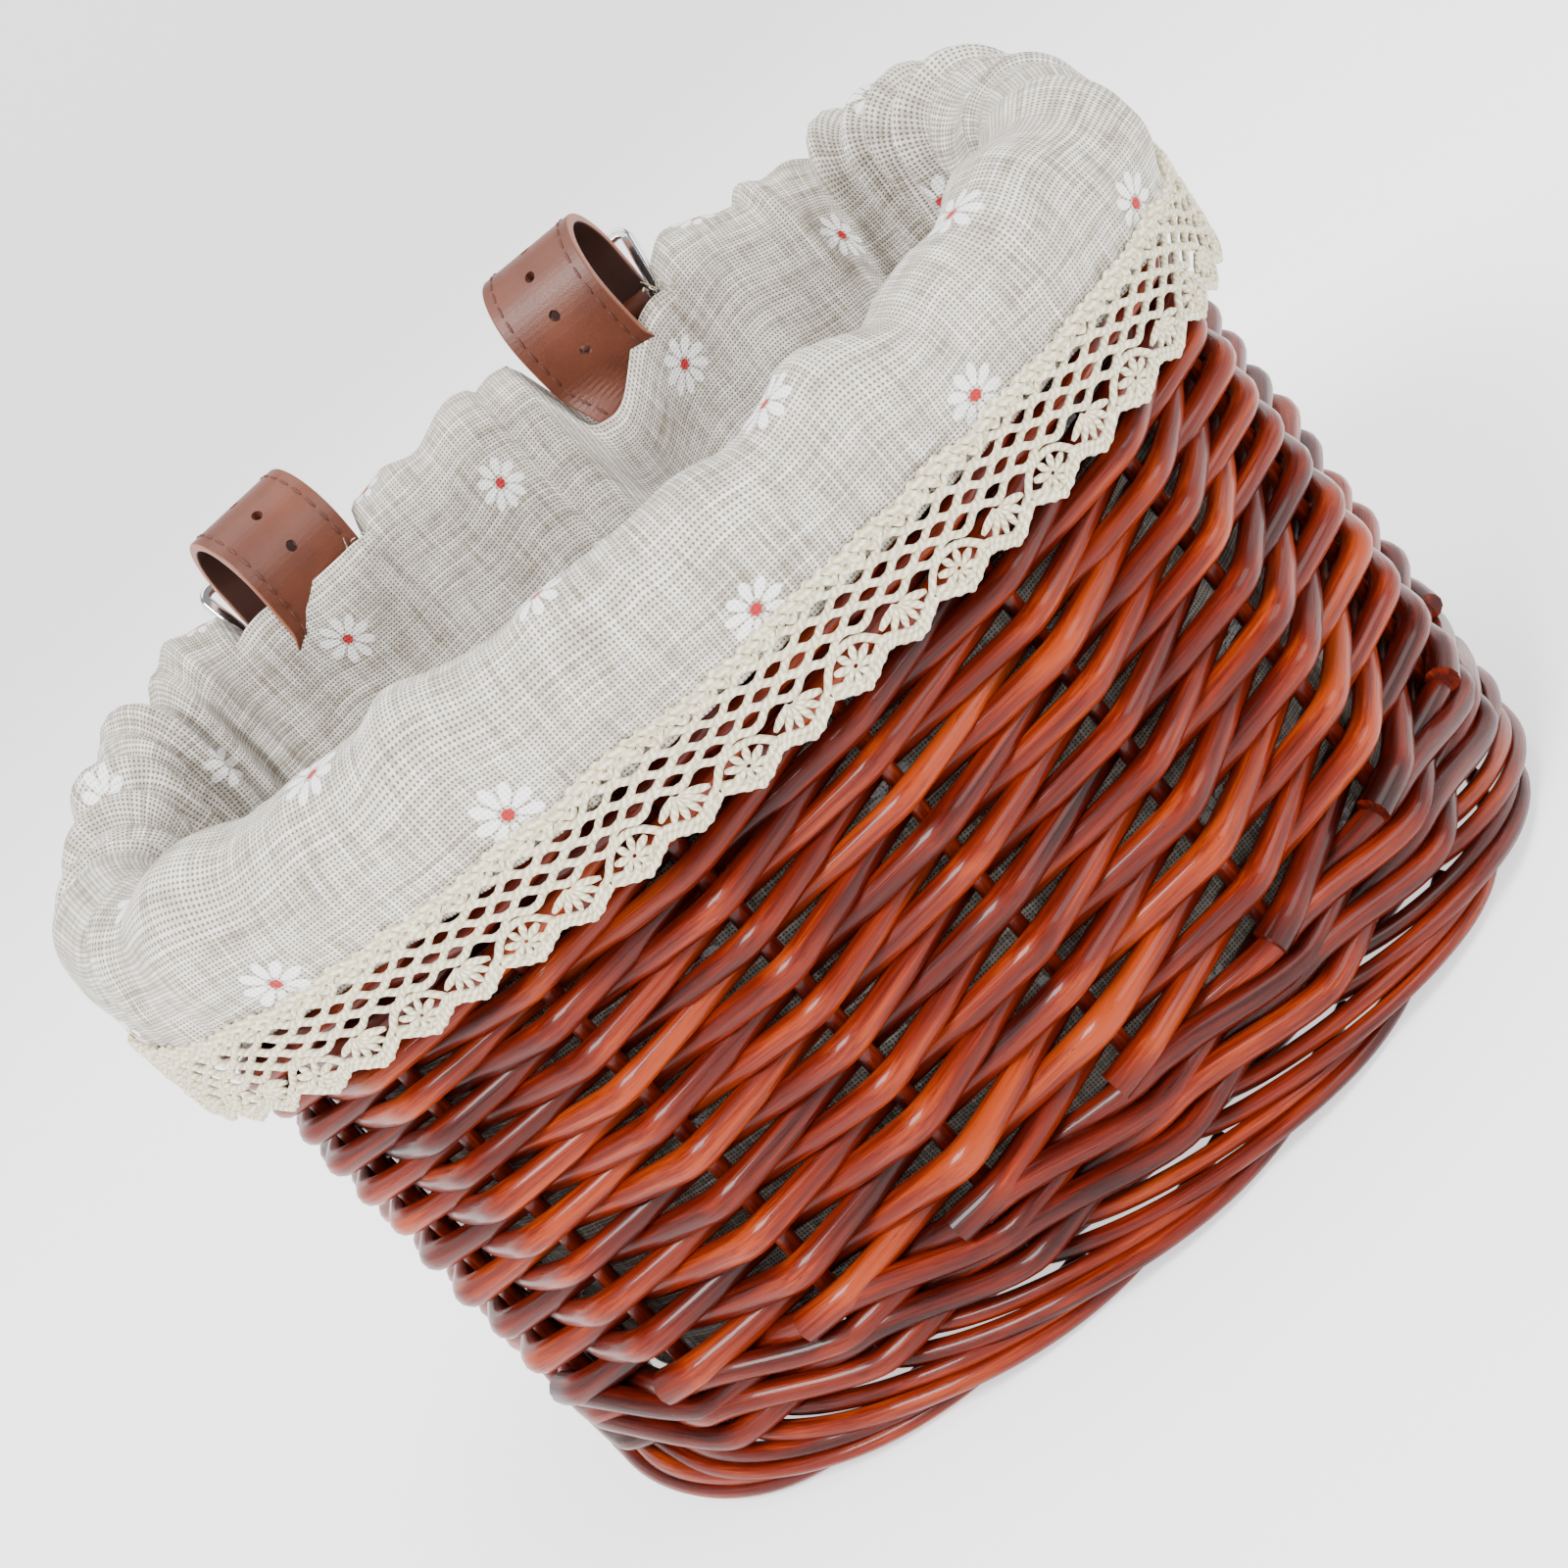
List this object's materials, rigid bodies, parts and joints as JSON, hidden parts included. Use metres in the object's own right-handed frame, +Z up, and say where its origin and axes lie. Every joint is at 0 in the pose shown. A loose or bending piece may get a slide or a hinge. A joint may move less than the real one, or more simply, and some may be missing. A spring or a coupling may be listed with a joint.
{
  "type": "handlebar basket",
  "caption": "Lined wicker basket with a flat back, woven willow side, cloth cuff with lace edging, and two buckled leather straps that loop round a handlebar.",
  "frame": {"origin": "centre of the bounding box, on the surface the basket stands on", "axes": "+Z up, -Y towards the curved front, +Y towards the flat back and the straps, +X to the right seen from the front"},
  "size_m": [0.2692, 0.2053, 0.1998],
  "materials": {
    "willow": "red-brown stained willow under gloss varnish",
    "linen": "open plain-weave linen with a printed daisy",
    "lace": "cream cotton bobbin lace",
    "elastic": "woven elastic tape",
    "leather": "smooth brown leather with stitched edges",
    "chrome": "polished plate"
  },
  "bodies": {
    "basket": {"wall_stakes": "willow", "weaver_01": "willow", "weaver_02": "willow", "weaver_03": "willow", "weaver_04": "willow", "weaver_05": "willow", "weaver_06": "willow", "weaver_07": "willow", "weaver_08": "willow", "weaver_09": "willow", "weaver_10": "willow", "weaver_11": "willow", "weaver_12": "willow", "weaver_13": "willow", "weaver_14": "willow", "weaver_15": "willow", "weaver_16": "willow", "weaver_17": "willow", "weaver_18": "willow", "weaver_19": "willow", "wale_rod_1": "willow", "wale_rod_2": "willow", "wale_rod_3": "willow", "foot_border": "willow", "base_hoop": "willow", "base_sticks": "willow", "base_weave": "willow", "rim_rod_outer": "willow", "rim_rod_inner": "willow", "rim_rod_top_outer": "willow", "rim_rod_top_inner": "willow", "liner_wall": "linen", "liner_cuff": "linen", "liner_floor": "linen", "cuff_elastic": "elastic", "lace_trim": "lace"},
    "left_strap_loop": {"left_strap": "leather", "left_strap_keeper": "leather"},
    "left_buckle": {"left_buckle_frame": "chrome"},
    "left_prong": {"left_buckle_prong": "chrome"},
    "right_strap_loop": {"right_strap": "leather", "right_strap_keeper": "leather"},
    "right_buckle": {"right_buckle_frame": "chrome"},
    "right_prong": {"right_buckle_prong": "chrome"}
  },
  "joints": [
    {"name": "left_strap_swing", "type": "hinge", "parent": "basket", "child": "left_strap_loop", "pos_m": [-0.057, 0.0792, 0.16], "axis": [1, 0, 0], "range_deg": [-25, 10]},
    {"name": "left_buckle_tilt", "type": "hinge", "parent": "left_strap_loop", "child": "left_buckle", "pos_m": [-0.06049, 0.08879, 0.173], "axis": [-0.9397, -0.342, 0], "range_deg": [0, 8]},
    {"name": "left_prong_lift", "type": "hinge", "parent": "left_buckle", "child": "left_prong", "pos_m": [-0.06049, 0.08879, 0.173], "axis": [-0.9397, -0.342, 0], "range_deg": [0, 5]},
    {"name": "right_strap_swing", "type": "hinge", "parent": "basket", "child": "right_strap_loop", "pos_m": [0.031, 0.0792, 0.16], "axis": [1, 0, 0], "range_deg": [-25, 10]},
    {"name": "right_buckle_tilt", "type": "hinge", "parent": "right_strap_loop", "child": "right_buckle", "pos_m": [0.03449, 0.08879, 0.173], "axis": [-0.9397, 0.342, 0], "range_deg": [0, 8]},
    {"name": "right_prong_lift", "type": "hinge", "parent": "right_buckle", "child": "right_prong", "pos_m": [0.03449, 0.08879, 0.173], "axis": [-0.9397, 0.342, 0], "range_deg": [0, 5]}
  ]
}
